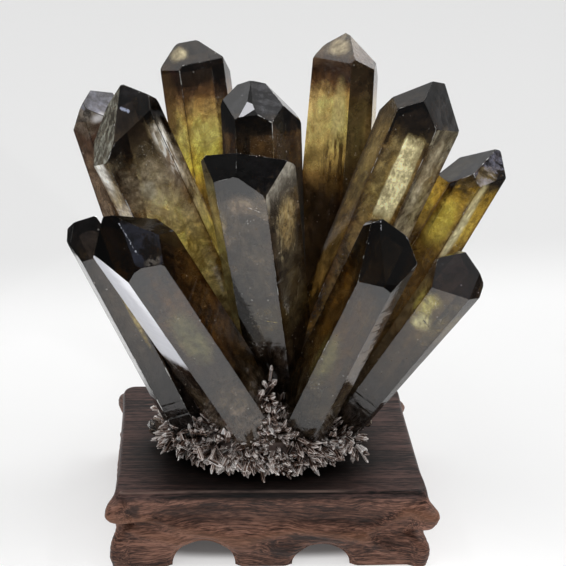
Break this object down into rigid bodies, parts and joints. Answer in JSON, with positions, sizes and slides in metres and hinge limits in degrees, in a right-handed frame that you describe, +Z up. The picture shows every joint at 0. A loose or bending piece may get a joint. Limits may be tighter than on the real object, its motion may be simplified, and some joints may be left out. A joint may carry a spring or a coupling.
{
  "type": "morion quartz cluster on a wooden stand",
  "caption": "Smoky quartz cluster of large black-tipped prisms fanning out of a druse of small crystals, resting on a carved hardwood stand.",
  "frame": {"origin": "centre of the bounding box on the floor under the stand", "axes": "+Z up, +X along the stand's front to the viewer's right, and the front faces -Y"},
  "size_m": [0.182, 0.1228, 0.2065],
  "materials": {
    "dark_quartz": "glossy, nearly black at the tips",
    "smoky_quartz": "glossy, black tips over honey and olive",
    "pale_quartz": "glossy small crystals",
    "dark_wood": "satin, fine grain"
  },
  "bodies": {
    "root": {"crystal_front_left_pair": "dark_quartz", "crystal_front_right": "dark_quartz", "crystal_low_right": "dark_quartz", "crystal_centre_group": "smoky_quartz", "crystal_outer_left": "smoky_quartz", "crystal_outer_right": "smoky_quartz", "crystal_back_left": "smoky_quartz", "crystal_back_right": "smoky_quartz", "druse_base": "pale_quartz", "wood_stand": "dark_wood"}
  },
  "joints": []
}
